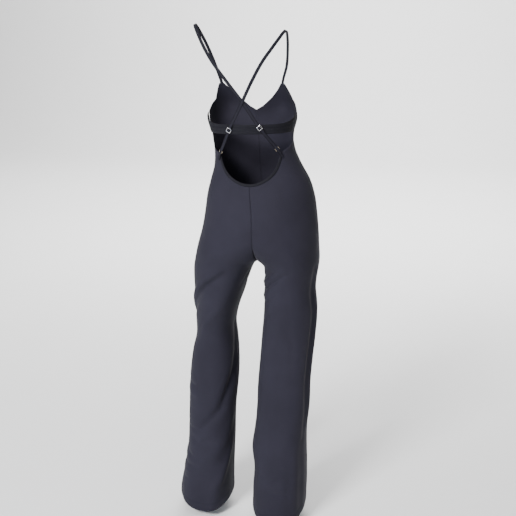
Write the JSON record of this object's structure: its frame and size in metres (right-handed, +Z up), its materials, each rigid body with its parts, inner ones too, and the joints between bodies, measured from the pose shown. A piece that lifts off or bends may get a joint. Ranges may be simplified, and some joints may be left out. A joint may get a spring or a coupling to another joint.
{
  "type": "women's jumpsuit",
  "caption": "Backless wide-leg jumpsuit in dark stretch knit, worn pose, with crossed back straps, a deep scoop back and an open, hollow bodice and legs.",
  "frame": {"origin": "midway between the two places where the straps pass over the wearer's shoulders", "axes": "+Z up; the front faces -Y and the back +Y; +X is the wearer's left"},
  "size_m": [0.4163, 0.2425, 1.4293],
  "materials": {
    "knit": "matt double knit",
    "trim": "matt knit over elastic",
    "metal": "polished"
  },
  "bodies": {
    "root": {"back_left": "knit", "back_right": "knit", "front_left": "knit", "front_right": "knit", "cup_left": "knit", "cup_right": "knit", "back_band": "trim", "scoop_binding": "trim", "strap_left": "trim", "strap_right": "trim", "slider_left": "metal", "slider_right": "metal", "ring_left": "metal", "ring_right": "metal", "tab_left": "trim", "tab_right": "trim"}
  },
  "joints": []
}
